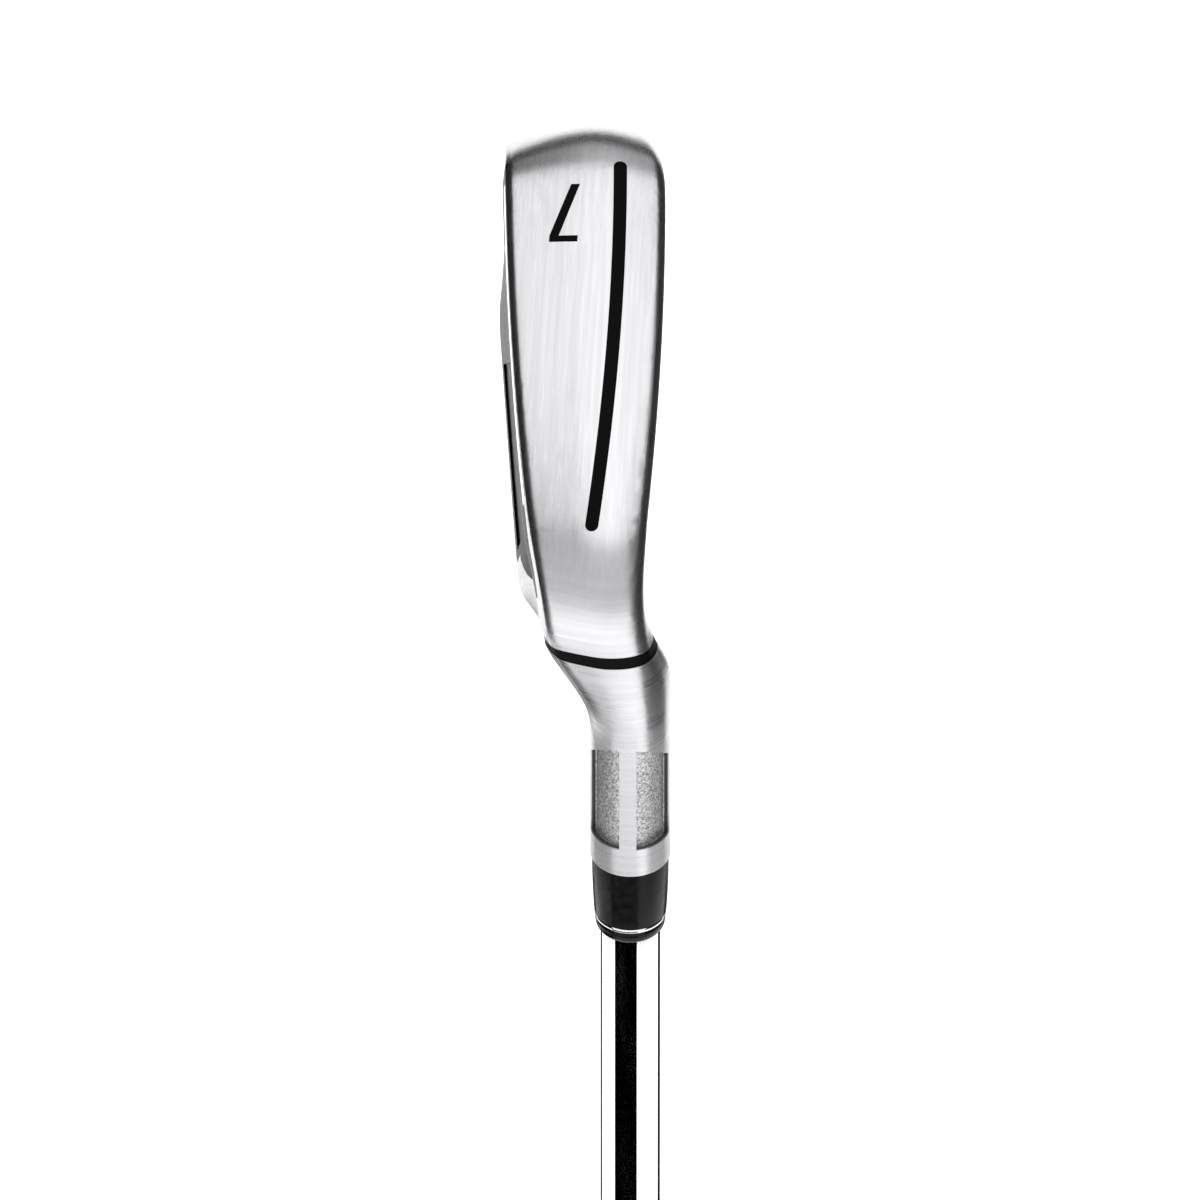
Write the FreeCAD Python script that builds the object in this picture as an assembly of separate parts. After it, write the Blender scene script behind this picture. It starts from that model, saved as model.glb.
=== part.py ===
import FreeCAD, Part
import cmath
import math
import os

os.makedirs("parts", exist_ok=True)

# ---------------------------------------------------------------- driving dimensions (mm)
CLUB_LENGTH = 940.0            # butt of the grip to the ground point, along the shaft axis
LIE = math.radians(62.5)       # shaft to ground
LOFT = math.radians(27.0)      # face plane to the plumb line
FACE_Y0 = 4.75                 # where the face plane meets the ground, ahead of the shaft axis

HOSEL_R = 6.35
HOSEL_END = 64.2               # along the shaft axis from the ground point
BORE_R = 4.76
BORE_FLOOR = 32.4
SHAFT_TIP_R = 4.70

SOLE_R = 250.0                 # heel to toe camber
SOLE_X = 30.0                  # lowest point of the sole
HEEL_R = 22.0
TOE_X = 75.9
TOE_LOW_R = 15.0
TOE_HIGH_R = 70.0
TOE_HIGH_ARC = math.radians(18.0)
TOE_TOP_R = 14.0
TOPLINE_SLOPE = math.radians(14.0)
TOPLINE_T = 6.2
HEEL_THIN = 2.8                # the topline grows thinner where it meets the neck
HEEL_THIN_X = 7.0
CROTCH_R = 8.0
TOE_BACK_Y = -24.6             # back surface at the toe
TOE_BOW_R = 38.0
TOE_BOW_X = 56.0
TOE_BOW_Y = -8.5
NECK_BACK_D = 27.0             # along the lower outline, where the neck turns into the blade
NECK_BACK_L = 23.0
NECK_FRONT_D = 37.0
NECK_FRONT_L = 34.0

LEAD_R = 1.8
TRAIL_R = 1.6
CAMBER_R = 35.0                # face to back camber of the sole
TOP_R = 2.0

FACE_T = 2.4
RIM = 3.6                      # steel left round the face plate
FACE_LOW = 6.4                 # steel left under it
FACE_X0 = 14.0
CAP_RIM = 3.9
CAP_TOP = 2.8                  # steel left between the cover and the topline
CAP_X0 = 6.0
CAP_X1 = 65.5
CAP_WEB = 1.0                  # steel or air left between the face plate and the cover
CAP_GAP = 0.1
CAVITY_RIM = 8.6
CAVITY_TOP = 11.0
BOND_T = 0.2
BADGE_T = 1.0
BADGE_INSET = 0.4
BADGE_RIM = 7.3
BADGE_TOP = 4.4
CAP_MIN_T = 0.7                # cover left under the badge
DAMPER_L = 26.0
DAMPER_H = 12.0
DAMPER_X = 28.0
DAMPER_Z = 10.5
TRIM_T = 1.2
TRIM_LOW = 4.4                 # bright bar, measured up from the sole
TRIM_HIGH = 6.6
TRIM_X0 = 8.0
TRIM_X1 = 62.0
# the cover runs out to a point behind the heel (x, z)
HEEL_POCKET = [(18.0, 5.6), (6.0, 6.6), (-2.0, 9.2), (-5.5, 12.2),
               (-4.0, 16.0), (0.0, 21.0), (4.0, 26.0), (8.0, 29.5), (18.0, 31.0)]
# toe end of the badge, a slanting line (x, z)
BADGE_END = [(30.0, 0.0), (47.0, 45.0)]
SCORE_PITCH = 3.6
SCORE_W = 0.8
SCORE_DEPTH = 0.45
SCORE_COUNT = 10
SCORE_LOW = 9.4
SCORE_X0 = 17.0
SCORE_X1 = 66.0
SCORE_MARGIN = 2.5             # plain steel above the heel end of a line

SLOT_W = 2.1
SLOT_X0 = 3.1                  # centres of the round ends
SLOT_X1 = 64.4
SLOT_BOW = 1.2
SLOT_Y = -5.9
SLOT_TURN = 0.8                # degrees, its toe end nearer the face
SLOT_TOP = 9.6
SLOT_SET_IN = 0.15

NUMBER_DEPTH = 0.4
NUMBER_SET_IN = 0.08
BAND_T0 = 19.3
BAND_T1 = 21.6
BAND_DEPTH = 0.45
BAND_SET_IN = 0.12
BAND_END_Y = 0.3               # the band stops at the sides of the neck
NECK_X = -4.0                  # middle and half sizes of the neck at the band
NECK_Y = 0.3
NECK_HALF_X = 8.5
NECK_HALF_Y = 6.5

FLUTE_COUNT = 4
FLUTE_R = 5.4
FLUTE_HALF = math.radians(32.7)
FLUTE_HEAD_T = 38.2
FLUTE_GRIP_T = 58.8
FLUTE_SLANT = 0.854

FERRULE_BORE_R = 4.72
FERRULE_T1 = 75.9
RING_T1 = 76.7
COLLAR_T1 = 78.9

SHAFT_TIP_L = 240.0
STEP_PITCH = 38.1
STEP_COUNT = 12
STEP_L = 1.5
SHAFT_BUTT_R = 7.62
SHAFT_WALL_TIP = 0.55
SHAFT_WALL_BUTT = 0.42

GRIP_L = 267.0
GRIP_MOUTH_R = 10.0
GRIP_CAP_T = 4.0
GRIP_CAP_R = 13.6
VENT_R = 2.0
TAPE_T = 0.12
BUTT_Z = GRIP_CAP_T

V = FreeCAD.Vector
AXIS_Z = V(0, 0, 1)
HEAD_TO_CLUB = FreeCAD.Matrix(
    0, 1, 0, 0,
    math.sin(LIE), 0, math.cos(LIE), 0,
    math.cos(LIE), 0, -math.sin(LIE), CLUB_LENGTH,
    0, 0, 0, 1)
CLUB_TO_HEAD = HEAD_TO_CLUB.inverse()


# ---------------------------------------------------------------- outline seen from the face
# A point of the outline is a complex number: x from the heel to the toe, z upwards.

UP_SHAFT = complex(-math.cos(LIE), math.sin(LIE))
TOEWARD = complex(math.sin(LIE), math.cos(LIE))


def line(p, q):
    return ("line", p, q, abs(q - p))


def arc(centre, radius, a0, a1):
    return ("arc", centre, radius, a0, a1, abs(a1 - a0) * radius)


def along(segments, distance):
    """Point of a chain of lines and arcs at a distance from its start."""
    for segment in segments:
        length = segment[-1]
        last = segment is segments[-1]
        if distance <= length or last:
            f = min(max(distance / length, 0.0), 1.0)
            if segment[0] == "line":
                return segment[1] + (segment[2] - segment[1]) * f
            return segment[1] + cmath.rect(segment[2], segment[3] + (segment[4] - segment[3]) * f)
        distance -= length


def reach(segments, index, f):
    """Distance from the start of the chain to a fraction of one segment."""
    return sum(s[-1] for s in segments[:index]) + segments[index][-1] * f


def outlines():
    """Lower chain (hosel, heel, sole, toe) and upper chain (hosel, crotch, topline, toe)."""
    sole_c = complex(SOLE_X, SOLE_R)
    toe_x = TOE_X - TOE_LOW_R
    toe_c = complex(toe_x, SOLE_R - math.sqrt((SOLE_R - TOE_LOW_R) ** 2 - (toe_x - SOLE_X) ** 2))
    off = TOEWARD * (HEEL_R - HOSEL_R)
    v = off - sole_c
    b = 2 * (UP_SHAFT.real * v.real + UP_SHAFT.imag * v.imag)
    c = abs(v) ** 2 - (SOLE_R - HEEL_R) ** 2
    heel_t = (-b - math.sqrt(b * b - 4 * c)) / 2
    heel_c = UP_SHAFT * heel_t + off
    a_heel = cmath.phase(heel_c - sole_c)
    a_toe = cmath.phase(toe_c - sole_c)
    low = [
        line(UP_SHAFT * HOSEL_END - TOEWARD * HOSEL_R, UP_SHAFT * heel_t - TOEWARD * HOSEL_R),
        arc(heel_c, HEEL_R, cmath.phase(-TOEWARD), a_heel),
        arc(sole_c, SOLE_R, a_heel, a_toe),
        arc(toe_c, TOE_LOW_R, a_toe, 0.0)]

    high_c = complex(TOE_X - TOE_HIGH_R, toe_c.imag)
    corner = high_c + cmath.rect(TOE_HIGH_R, TOE_HIGH_ARC)
    top_c = corner - cmath.rect(TOE_TOP_R, TOE_HIGH_ARC)
    a_top = math.pi / 2 + TOPLINE_SLOPE
    top_p = top_c + cmath.rect(TOE_TOP_R, a_top)
    normal = cmath.rect(1.0, a_top)
    # the crotch circle touches the topline and the side of the hosel
    d0 = normal.real * top_p.real + normal.imag * top_p.imag + CROTCH_R
    d1 = HOSEL_R + CROTCH_R
    det = normal.real * TOEWARD.imag - normal.imag * TOEWARD.real
    crotch = complex((d0 * TOEWARD.imag - d1 * normal.imag) / det,
                     (d1 * normal.real - d0 * TOEWARD.real) / det)
    turn = 2 * math.pi
    high = [
        line(UP_SHAFT * HOSEL_END + TOEWARD * HOSEL_R, crotch - TOEWARD * CROTCH_R),
        arc(crotch, CROTCH_R, cmath.phase(-TOEWARD) + turn, cmath.phase(-normal) + turn),
        line(crotch - normal * CROTCH_R, top_p),
        arc(top_c, TOE_TOP_R, a_top, TOE_HIGH_ARC),
        arc(high_c, TOE_HIGH_R, TOE_HIGH_ARC, 0.0)]
    return low, high


LOW, HIGH = outlines()


def face_y(z):
    return FACE_Y0 - math.tan(LOFT) * z


def trail_y(x):
    """Rear edge of the sole, wider towards the toe."""
    return -15.6 - 0.176 * x + 0.00083 * x * x


def smooth(t):
    t = min(max(t, 0.0), 1.0)
    return t * t * (3 - 2 * t)


# Stations of the skin: (place on the lower chain, place on the upper chain, how much toe,
# rows up to the next station)
STATIONS = [
    (reach(LOW, 0, 0.0), reach(HIGH, 0, 0.0), 0.0, 4),
    (HOSEL_END - 36.0, HOSEL_END - 37.0, 0.0, 10),
    (HOSEL_END - 12.0, reach(HIGH, 1, 1.0), 0.0, 8),
    (reach(LOW, 2, 0.12), reach(HIGH, 2, 0.17), 0.0, 10),
    (reach(LOW, 2, 0.92), reach(HIGH, 2, 0.90), 0.0, 6),
    (reach(LOW, 3, 0.45), reach(HIGH, 3, 0.50), 0.55, 6),
    (reach(LOW, 3, 0.955), reach(HIGH, 4, 0.90), 1.0, 0)]


def station_slope(i, k):
    """Rate of one station value per row, kept between the rates on both sides."""
    rates = []
    for j in (i - 1, i):
        if 0 <= j < len(STATIONS) - 1:
            rates.append((STATIONS[j + 1][k] - STATIONS[j][k]) / STATIONS[j][3])
    if len(rates) == 1:
        return rates[0]
    return 2 * rates[0] * rates[1] / (rates[0] + rates[1])


def station_rows():
    """Every row of the skin, eased between the stations with cubic curves."""
    rows = []
    for i in range(len(STATIONS) - 1):
        p1 = STATIONS[i]
        p2 = STATIONS[i + 1]
        count = p1[3]
        for j in range(count):
            f = j / count
            h1 = 2 * f ** 3 - 3 * f ** 2 + 1
            h2 = f ** 3 - 2 * f ** 2 + f
            h3 = 3 * f ** 2 - 2 * f ** 3
            h4 = f ** 3 - f ** 2
            row = []
            for k in range(2):
                m1 = station_slope(i, k) * count
                m2 = station_slope(i + 1, k) * count
                row.append(h1 * p1[k] + h2 * m1 + h3 * p2[k] + h4 * m2)
            row.append(p1[2] + (p2[2] - p1[2]) * smooth(f))
            rows.append(row)
    rows.append(list(STATIONS[-1][:3]))
    return rows


# Corners of a blade section: points on the corner, points on the side after it, and where
# the corner lies on the round section of the neck (degrees, clockwise from the face side)
CORNERS = [
    ("lead", 6, 2, 50, 9),
    ("camber", 6, 3, 92, 12),
    ("trail", 6, 2, 136, 9),
    ("muscle", 4, 1, 160, 5),
    ("waist", 4, 5, 180, 5),
    ("top_back", 6, 2, 226, 9),
    ("top_face", 6, 8, 314, 9)]


def blade_corners(x, z, rise, height, toe):
    """Corner points (up the section, y) and radii of one blade section."""
    scale = min(1.0, height / 30.0)
    y_trail = trail_y(x)
    thick = TOPLINE_T - HEEL_THIN * smooth((HEEL_THIN_X - x) / 16.0)
    y_back = (face_y(z + height * rise) - thick) * (1 - toe) + TOE_BACK_Y * toe
    y_lead = face_y(z + 2.0 * scale * rise)
    hollow = 2.2 * scale * (1 - smooth(toe * 1.6))
    w1 = 10.0 * scale
    w2 = 15.0 * scale
    side = (y_back - y_trail) / height
    return [
        (2.0 * scale, y_lead, LEAD_R),
        (0.0, y_trail + 0.60 * (y_lead - y_trail), CAMBER_R),
        (2.6 * scale, y_trail, TRAIL_R),
        (w1, y_trail + side * w1 - 0.3 * scale, 5.0),
        (w2, y_trail + side * w2 + hollow, 7.0),
        (height - 0.5 * scale, y_back, TOP_R),
        (height, face_y(z + height * rise), TOP_R)]


def rounded(corners):
    """Points round a polygon whose corners are arcs."""
    count = len(corners)
    arcs = []
    for i in range(count):
        p = complex(corners[i][0], corners[i][1])
        a = complex(corners[i - 1][0], corners[i - 1][1]) - p
        b = complex(corners[(i + 1) % count][0], corners[(i + 1) % count][1]) - p
        room = 0.46 * min(abs(a), abs(b))
        ua = a / abs(a)
        ub = b / abs(b)
        half = abs(cmath.phase(ub / ua)) / 2
        back = min(corners[i][2] / math.tan(half), room)
        radius = back * math.tan(half)
        bisector = (ua + ub) / abs(ua + ub)
        centre = p + bisector * math.hypot(back, radius)
        v0 = p + ua * back - centre
        v1 = p + ub * back - centre
        arcs.append((centre, v0, cmath.phase(v1 / v0)))
    points = []
    for i in range(count):
        centre, v0, turn = arcs[i]
        n_arc = CORNERS[i][1]
        n_side = CORNERS[i][2]
        for j in range(n_arc):
            points.append(centre + v0 * cmath.rect(1.0, turn * j / (n_arc - 1)))
        start = points[-1]
        nxt = arcs[(i + 1) % count]
        end = nxt[0] + nxt[1]
        for j in range(1, n_side + 1):
            points.append(start + (end - start) * j / (n_side + 1))
    return points


def round_angles():
    """Angle on the round section for every point of a blade section."""
    angles = []
    for i in range(len(CORNERS)):
        name, n_arc, n_side, mid, half = CORNERS[i]
        nxt = CORNERS[(i + 1) % len(CORNERS)]
        after = nxt[3] - nxt[4] + (360 if i == len(CORNERS) - 1 else 0)
        for j in range(n_arc):
            angles.append(mid - half + 2 * half * j / (n_arc - 1))
        for j in range(1, n_side + 1):
            angles.append(mid + half + (after - mid - half) * j / (n_side + 1))
    return [math.radians(a) for a in angles]


ANGLES = round_angles()
SEAM = len(ANGLES) - 5         # the seam lies on the front land of the hosel and on the face
# control points of a cubic curve lie a little outside the circle they draw
POLE_GAIN = 3.0 / (2.0 + math.cos(2 * math.pi / len(ANGLES)))


def bowed(x, y):
    """The toe end is a little rounder seen from the sole."""
    return x - smooth((x - TOE_BOW_X) / (TOE_X - TOE_BOW_X)) * (y - TOE_BOW_Y) ** 2 / (2 * TOE_BOW_R)


def section(low_d, high_d, toe):
    """One closed row of the skin in the head frame: round at the hosel, square at the blade,
    and the back turns into the blade sooner than the face side."""
    back = smooth((low_d - NECK_BACK_D) / NECK_BACK_L)
    front = smooth((low_d - NECK_FRONT_D) / NECK_FRONT_L) ** 1.5
    p = along(LOW, low_d)
    chord = along(HIGH, high_d) - p
    height = abs(chord)
    unit = chord / height
    if back > 0:
        square = rounded(blade_corners(p.real, p.imag, unit.imag, height, toe))
    else:
        square = [0j] * len(ANGLES)
    row = []
    for i in range(len(ANGLES)):
        r = POLE_GAIN
        oval = complex(height / 2 * (1 - r * math.sin(ANGLES[i])), HOSEL_R * r * math.cos(ANGLES[i]))
        blade = back + (front - back) * (1 + math.cos(ANGLES[i])) / 2
        q = oval * (1 - blade) + square[i] * blade
        at = p + unit * q.real
        row.append(V(bowed(at.real, q.imag), q.imag, at.imag))
    return row[SEAM:] + row[:SEAM]


def skin():
    """Outside of the head as one smooth surface, closed at the hosel end and at the toe."""
    poles = [section(*row) for row in station_rows()]
    n_u = len(poles)
    n_v = len(poles[0])
    surface = Part.BSplineSurface()
    surface.buildFromPolesMultsKnots(
        poles,
        [4] + [1] * (n_u - 4) + [4], [1] * (n_v + 1),
        list(range(n_u - 2)), list(range(n_v + 1)),
        False, True, 3, 3)
    side = surface.toShape()
    faces = [side]
    for edge in side.Edges:
        if edge.isClosed() and not edge.isSeam(side):
            faces.append(Part.makeFilledFace([edge]))
    shell = Part.makeShell(faces)
    shell.sewShape()
    solid = Part.makeSolid(shell)
    if solid.Volume < 0:
        solid.reverse()
    return solid


# ---------------------------------------------------------------- helpers in the head frame
def blade_wire(inset, x_start):
    """Outline of the blade seen from the face, moved inwards."""
    def edge(segment, f0, f1):
        if segment[0] == "line":
            p = segment[1] + (segment[2] - segment[1]) * f0
            q = segment[1] + (segment[2] - segment[1]) * f1
            return Part.makeLine(V(p.real, 0, p.imag), V(q.real, 0, q.imag))
        a0 = segment[3] + (segment[4] - segment[3]) * f0
        a1 = segment[3] + (segment[4] - segment[3]) * f1
        pts = [segment[1] + cmath.rect(segment[2], a0 + (a1 - a0) * f) for f in (0.0, 0.5, 1.0)]
        return Part.Arc(*[V(p.real, 0, p.imag) for p in pts]).toShape()

    sole = LOW[2]
    a_start = -math.pi / 2 + math.asin((x_start - SOLE_X) / SOLE_R)
    f_sole = (a_start - sole[3]) / (sole[4] - sole[3])
    top = HIGH[2]
    f_top = (x_start - top[1].real) / (top[2].real - top[1].real)
    edges = [edge(sole, f_sole, 1.0), edge(LOW[3], 0.0, 1.0)]
    edges += [edge(HIGH[4], 1.0, 0.0), edge(HIGH[3], 1.0, 0.0), edge(top, 1.0, f_top)]
    p = edges[-1].Vertexes[-1].Point
    q = edges[0].Vertexes[0].Point
    edges.append(Part.makeLine(p, q))
    wire = Part.Wire(Part.__sortEdges__(edges))
    if inset > 0:
        wire = wire.makeOffset2D(-inset)
    return wire


def through(wire):
    """Prism of an outline along y, far beyond both sides of the head."""
    solid = Part.Face(wire).extrude(V(0, 120, 0))
    solid.translate(V(0, -60, 0))
    return solid


def under_topline(distance):
    """Space under a line parallel to the topline, a distance inside it."""
    top = HIGH[2]
    step = (top[2] - top[1]) / abs(top[2] - top[1])
    p = top[1] - 1j * step * distance
    a = p - step * 200
    b = p + step * 200
    wire = Part.makePolygon([V(a.real, 0, a.imag), V(b.real, 0, b.imag), V(b.real, 0, -200),
                             V(a.real, 0, -200), V(a.real, 0, a.imag)])
    return through(wire)


def slab(distance, thickness):
    """Layer parallel to the face plane: its front is a distance behind the face."""
    box = Part.makeBox(300, thickness, 300, V(-150, -distance - thickness, -150))
    box.rotate(V(0, 0, 0), V(1, 0, 0), math.degrees(LOFT))
    box.translate(V(0, FACE_Y0, 0))
    return box


def zone(rim, top):
    """Prism inside the blade outline, with its own distance from the topline."""
    return through(blade_wire(rim, 10.0)).common(under_topline(top))


def cover_zone(low, top, gap):
    """Prism of the cover, from just above the sole to just under the topline."""
    heelward = Part.makeBox(60 + CAP_X1 + gap, 120, 100, V(-60, -60, -20))
    prism = through(blade_wire(top - gap, CAP_X0)).common(above_sole(low - gap))
    return prism.common(heelward)


def cap_plane_y(x):
    """Inner face of the back cap."""
    return -13.3 - 0.106 * x


def rear_slab(offset, thickness):
    """Layer parallel to the inner face of the cap, towards the back."""
    x0, x1 = -40.0, 120.0
    pts = [V(x0, cap_plane_y(x0) - offset, -20), V(x1, cap_plane_y(x1) - offset, -20),
           V(x1, cap_plane_y(x1) - offset - thickness, -20),
           V(x0, cap_plane_y(x0) - offset - thickness, -20)]
    return Part.Face(Part.makePolygon(pts + pts[:1])).extrude(V(0, 0, 120))


def moved(shape, x=0.0, y=0.0, z=0.0):
    copy = shape.copy()
    copy.translate(V(x, y, z))
    return copy


def to_head(shape):
    copy = shape.copy()
    copy.transformShape(CLUB_TO_HEAD)
    return copy


# ---------------------------------------------------------------- tools that shape the head
def slot_tool(width, z_top):
    """Bowed slot with round ends, along the sole."""
    mid = (SLOT_X0 + SLOT_X1) / 2
    half = (SLOT_X1 - SLOT_X0) / 2
    radius = (half * half + SLOT_BOW * SLOT_BOW) / (2 * SLOT_BOW)
    centre = V(mid, SLOT_Y + SLOT_BOW - radius, 0)
    reach_a = math.asin(half / radius)

    def on(r, a):
        return centre + V(r * math.sin(a), r * math.cos(a), 0)

    outer = radius + width / 2
    inner = radius - width / 2
    tip = (width / 2) / radius
    edges = [
        Part.Arc(on(outer, -reach_a), on(outer, 0), on(outer, reach_a)).toShape(),
        Part.Arc(on(outer, reach_a), on(radius, reach_a + tip), on(inner, reach_a)).toShape(),
        Part.Arc(on(inner, reach_a), on(inner, 0), on(inner, -reach_a)).toShape(),
        Part.Arc(on(inner, -reach_a), on(radius, -reach_a - tip), on(outer, -reach_a)).toShape()]
    solid = Part.Face(Part.Wire(edges)).extrude(V(0, 0, 5 + z_top))
    solid.translate(V(0, 0, -5))
    solid.rotate(V(mid, SLOT_Y, 0), AXIS_Z, SLOT_TURN)
    return solid


def number_tool():
    """A plain seven in strokes, read from the toe side."""
    bar_x0, bar_x1 = 50.8, 51.9
    corner_y, end_y = -15.9, -11.4
    foot_x, foot_y0, foot_y1 = 61.0, -13.0, -11.6
    pts = [V(bar_x0, corner_y, 0), V(bar_x0, end_y, 0), V(bar_x1, end_y, 0),
           V(bar_x1, corner_y + 1.5, 0), V(foot_x, foot_y1, 0), V(foot_x, foot_y0, 0),
           V(bar_x1, corner_y, 0)]
    solid = Part.Face(Part.makePolygon(pts + pts[:1])).extrude(V(0, 0, 10))
    solid.translate(V(0, 0, -4))
    return solid


def band_tool():
    """Ring that cuts the decorative band into the heel side of the neck."""
    box = Part.makeBox(40, 20 + BAND_END_Y, BAND_T1 - BAND_T0, V(-20, -20, CLUB_LENGTH - BAND_T1))
    return to_head(box)


def neck_inside(shape, depth):
    """The skin drawn in by a depth all round the neck at the band."""
    copy = shape.copy()
    copy.transformShape(HEAD_TO_CLUB)
    kx = 1 - depth / NECK_HALF_X
    ky = 1 - depth / NECK_HALF_Y
    shrink = FreeCAD.Matrix(
        kx, 0, 0, NECK_X * (1 - kx),
        0, ky, 0, NECK_Y * (1 - ky),
        0, 0, 1, 0,
        0, 0, 0, 1)
    return to_head(copy.transformGeometry(shrink))


def flute_tools():
    """Recesses round the hosel, between narrow lands."""
    tools = []
    head_z = CLUB_LENGTH - FLUTE_HEAD_T
    grip_z = CLUB_LENGTH - FLUTE_GRIP_T
    outer = HOSEL_R + 2.0
    for k in range(FLUTE_COUNT):
        mid = math.pi / 4 + k * math.pi / 2

        def on(r, a):
            return V(r * math.cos(mid + a), r * math.sin(mid + a), grip_z)

        edges = [
            Part.Arc(on(FLUTE_R, -FLUTE_HALF), on(FLUTE_R, 0), on(FLUTE_R, FLUTE_HALF)).toShape(),
            Part.makeLine(on(FLUTE_R, FLUTE_HALF), on(outer, FLUTE_HALF)),
            Part.Arc(on(outer, FLUTE_HALF), on(outer, 0), on(outer, -FLUTE_HALF)).toShape(),
            Part.makeLine(on(outer, -FLUTE_HALF), on(FLUTE_R, -FLUTE_HALF))]
        sector = Part.Face(Part.Wire(edges)).extrude(V(0, 0, 40))
        side = 1 if math.sin(mid) > 0 else -1
        far = 10.0
        near_z = head_z - FLUTE_SLANT * HOSEL_R
        far_z = head_z + FLUTE_SLANT * (far - HOSEL_R)
        pts = [V(-far, 0, near_z), V(-far, side * far, far_z),
               V(-far, side * far, grip_z), V(-far, 0, grip_z)]
        wedge = Part.Face(Part.makePolygon(pts + pts[:1])).extrude(V(2 * far, 0, 0))
        tools.append(to_head(sector.common(wedge)))
    return tools


def score_tool():
    """Score lines across the hitting area; the upper ones stop short of the topline."""
    top = HIGH[2]
    run = (top[2].real - top[1].real) / (top[2].imag - top[1].imag)
    tools = []
    for i in range(SCORE_COUNT):
        up = SCORE_LOW + i * SCORE_PITCH
        z = up * math.cos(LOFT) + RIM + SCORE_MARGIN
        x0 = max(SCORE_X0, top[1].real + (z - top[1].imag) * run)
        box = Part.makeBox(SCORE_X1 - x0, 2 * SCORE_DEPTH, SCORE_W, V(x0, -SCORE_DEPTH, up))
        box.rotate(V(0, 0, 0), V(1, 0, 0), math.degrees(LOFT))
        box.translate(V(0, FACE_Y0, 0))
        tools.append(box)
    return Part.makeCompound(tools)


def above_sole(distance):
    """Space more than a distance above the sole."""
    return Part.makeCylinder(SOLE_R - distance, 120, V(SOLE_X, -60, SOLE_R), V(0, 1, 0))


def trim_tool():
    """Strip just above the rear edge of the sole."""
    box = Part.makeBox(TRIM_X1 - TRIM_X0, 120, 40, V(TRIM_X0, -60, 0))
    return above_sole(TRIM_LOW).cut(above_sole(TRIM_HIGH)).common(box)


def heel_pocket(gap):
    """Pointed end of the cover behind the heel."""
    pts = [V(x, 0, z) for x, z in HEEL_POCKET]
    wire = Part.makePolygon(pts + pts[:1])
    if gap > 0:
        wire = wire.makeOffset2D(gap)
    return through(wire)


def badge_side():
    """Space on the heel side of the badge's slanting end."""
    (x0, z0), (x1, z1) = BADGE_END
    pts = [V(x0, 0, z0), V(x1, 0, z1), V(-60, 0, z1), V(-60, 0, z0)]
    return through(Part.makePolygon(pts + pts[:1]))


# ---------------------------------------------------------------- the head's own pieces
def head_pieces():
    outside = skin()
    pieces = {}
    plate_zone = through(blade_wire(RIM, FACE_X0)).common(above_sole(FACE_LOW))
    cap_zone = cover_zone(CAP_RIM, CAP_TOP, 0.0).fuse(heel_pocket(0.0))
    seat_zone = cover_zone(CAP_RIM, CAP_TOP, CAP_GAP).fuse(heel_pocket(CAP_GAP))
    cavity_zone = zone(CAVITY_RIM, CAVITY_TOP)
    badge_zone = cover_zone(BADGE_RIM, BADGE_TOP, 0.0).common(badge_side())

    plate = plate_zone.common(slab(0.0, FACE_T))
    pieces["face_plate"] = plate.cut(score_tool())

    behind = rear_slab(0.0, 60.0).common(slab(FACE_T + CAP_WEB, 100.0))
    cap_space = rear_slab(BOND_T, 60.0).common(slab(FACE_T + CAP_WEB + BOND_T, 100.0))
    cap = outside.common(cap_zone).common(cap_space)
    sunk = moved(outside, y=BADGE_INSET + BADGE_T)
    badge_cut = outside.common(badge_zone.cut(trim_tool())).cut(sunk)
    badge_cut = badge_cut.common(rear_slab(BOND_T + CAP_MIN_T, 60.0))
    badge_cut = badge_cut.common(slab(FACE_T + CAP_WEB + BOND_T + CAP_MIN_T, 100.0))
    badge = badge_cut.common(moved(outside, y=BADGE_INSET))
    trim = cap.common(trim_tool()).cut(moved(outside, y=TRIM_T))
    pieces["back_badge"] = badge
    pieces["cap_trim"] = trim
    pieces["back_cap"] = cap.cut(badge_cut).cut(trim)
    bond = seat_zone.cut(cavity_zone).common(behind).common(outside)
    pieces["cap_bond"] = bond.cut(cap_space).cut(cap)

    cavity = cavity_zone.common(slab(FACE_T, 100.0)).cut(behind)
    damper_zone = Part.makeBox(DAMPER_L, 100, DAMPER_H, V(DAMPER_X, -50, DAMPER_Z))
    pieces["damper"] = damper_zone.common(slab(FACE_T, 100.0)).cut(rear_slab(BOND_T, 60.0))

    slot = slot_tool(SLOT_W, SLOT_TOP)
    filler = slot.common(moved(outside, z=SLOT_SET_IN))
    filler = filler.cut(slab(-60.0, 60.0 + FACE_T))
    pieces["slot_filler"] = filler

    deep = moved(outside, z=NUMBER_DEPTH)
    number_cut = outside.common(number_tool()).cut(deep)
    pieces["sole_number_fill"] = number_cut.common(moved(outside, z=NUMBER_SET_IN))

    band_cut = outside.common(band_tool()).cut(neck_inside(outside, BAND_DEPTH))
    pieces["hosel_band_fill"] = band_cut.common(neck_inside(outside, BAND_SET_IN))

    bore = Part.makeCylinder(BORE_R, HOSEL_END - BORE_FLOOR + 5, V(0, 0, CLUB_LENGTH - HOSEL_END - 5))
    body = outside
    seat = seat_zone.common(behind)
    plate_seat = plate_zone.common(slab(-20.0, 20.0 + FACE_T))
    for tool in [plate_seat, seat, cavity, slot, number_cut, band_cut, to_head(bore)] + flute_tools():
        body = body.cut(tool)
    pieces["head_body"] = body
    for name in pieces:
        pieces[name].transformShape(HEAD_TO_CLUB)
    return pieces


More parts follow.
